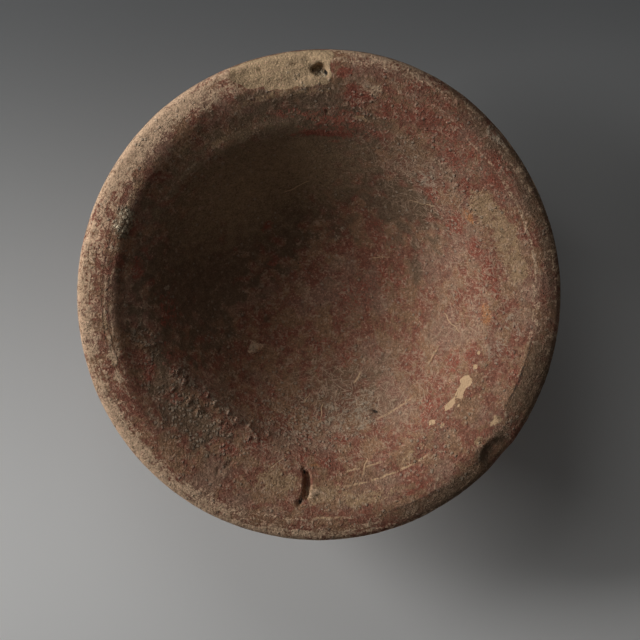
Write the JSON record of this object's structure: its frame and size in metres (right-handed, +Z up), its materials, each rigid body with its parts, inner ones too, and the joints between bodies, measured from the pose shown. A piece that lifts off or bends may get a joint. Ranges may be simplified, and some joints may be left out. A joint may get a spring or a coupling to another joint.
{
  "type": "pottery bowl",
  "caption": "Wide ancient earthenware bowl with a thick worn lip, a sloping inner rim, a round hollow and a small flat base.",
  "frame": {"origin": "middle of the flat base that the bowl stands on", "axes": "+Z up out of the mouth, +Y towards the side of the lip with the long spall, +X to its right seen from above"},
  "size_m": [0.1482, 0.1522, 0.0425],
  "materials": {
    "red_slip_earthenware": "matte, worn red-brown slip over a tan clay body, with dirt in its pits"
  },
  "bodies": {
    "root": {"bowl": "red_slip_earthenware"}
  },
  "joints": []
}
